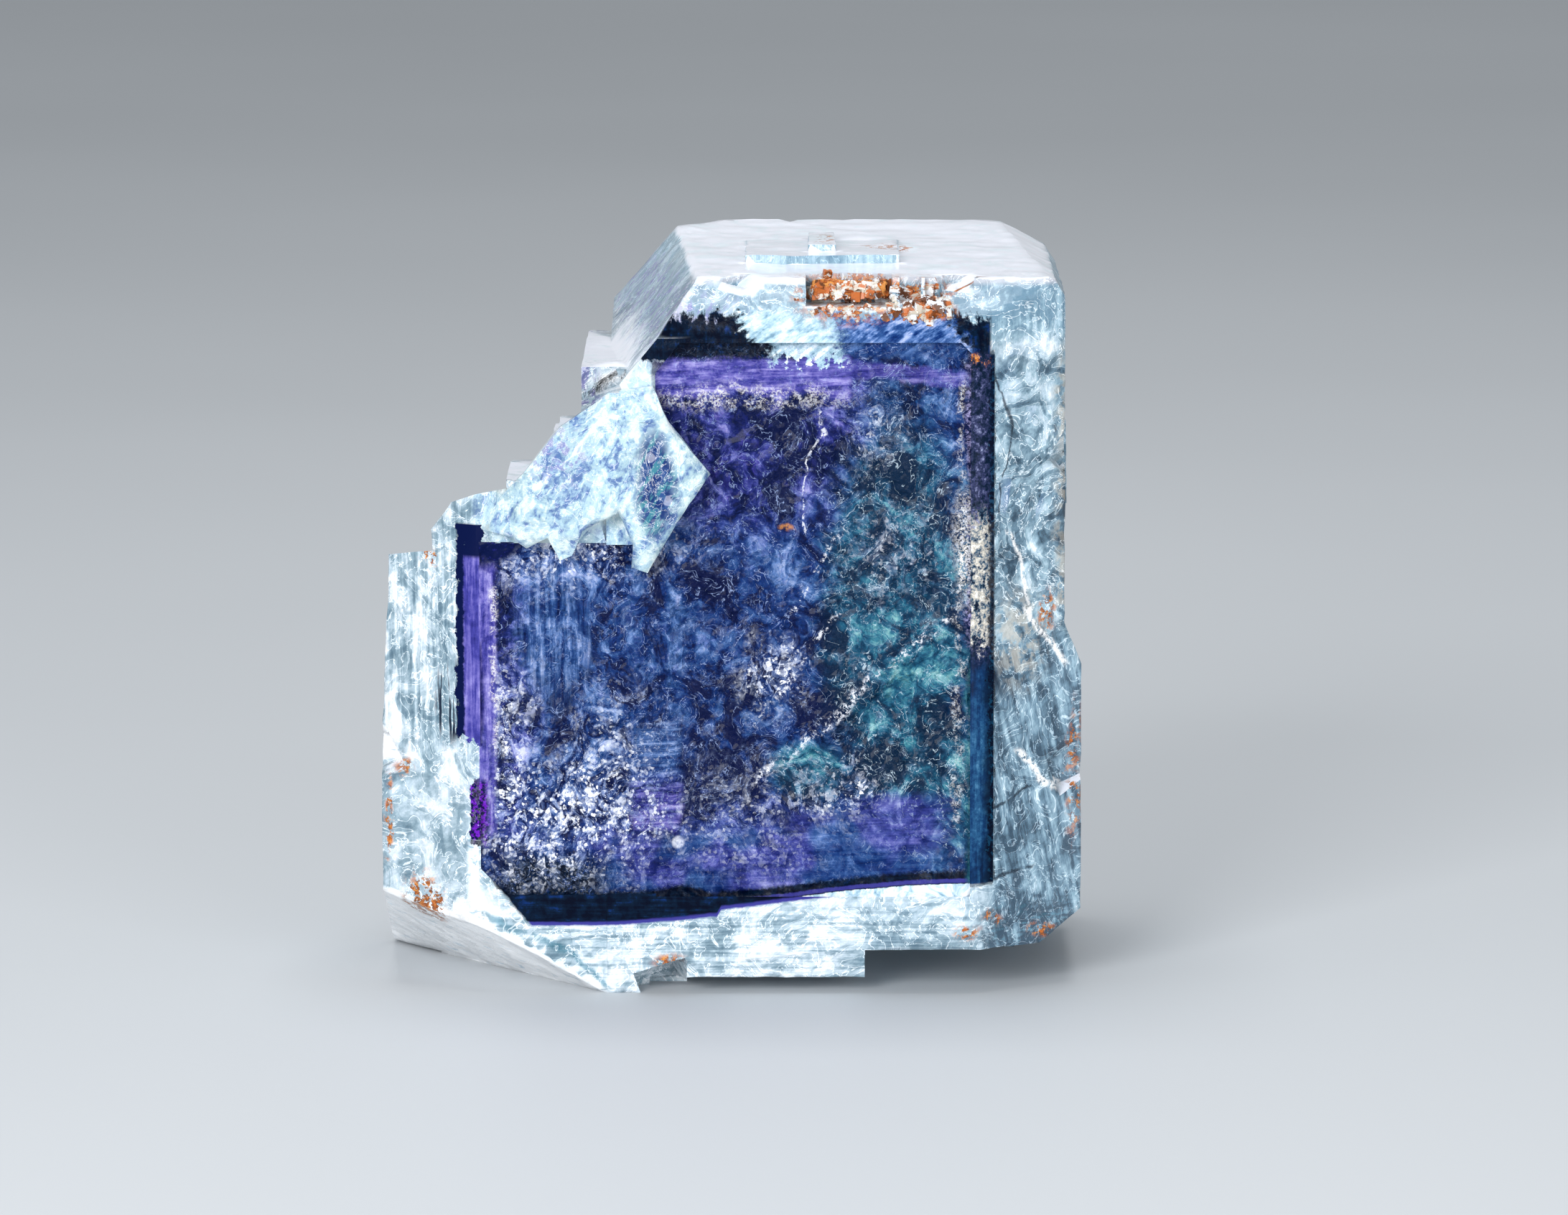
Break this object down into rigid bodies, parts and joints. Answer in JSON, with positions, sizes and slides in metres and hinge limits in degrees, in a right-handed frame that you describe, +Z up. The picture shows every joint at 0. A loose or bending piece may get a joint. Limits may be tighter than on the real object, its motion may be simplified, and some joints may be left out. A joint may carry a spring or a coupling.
{
  "type": "fluorite cube specimen",
  "caption": "Zoned fluorite cube: a dark purple and blue phantom cube in clear pale overgrowth, stepped at one corner, with rusty iron oxide in a notch. Stands on its flat base.",
  "frame": {"origin": "a point on the flat base, under the middle of the specimen", "axes": "+Z up, -Y out of the etched face that shows the phantom, +X to the right when that face is seen from the front"},
  "size_m": [0.0395, 0.0304, 0.0411],
  "materials": {
    "clear_fluorite": "clear to milky, pale blue, glassy with etched patches",
    "zoned_fluorite": "dark purple, blue and teal zones, etched and glittering",
    "iron_oxide": "rusty, dull and crumbly"
  },
  "bodies": {
    "root": {"clear_overgrowth": "clear_fluorite", "phantom_cube": "zoned_fluorite", "iron_oxide_crust": "iron_oxide"}
  },
  "joints": []
}
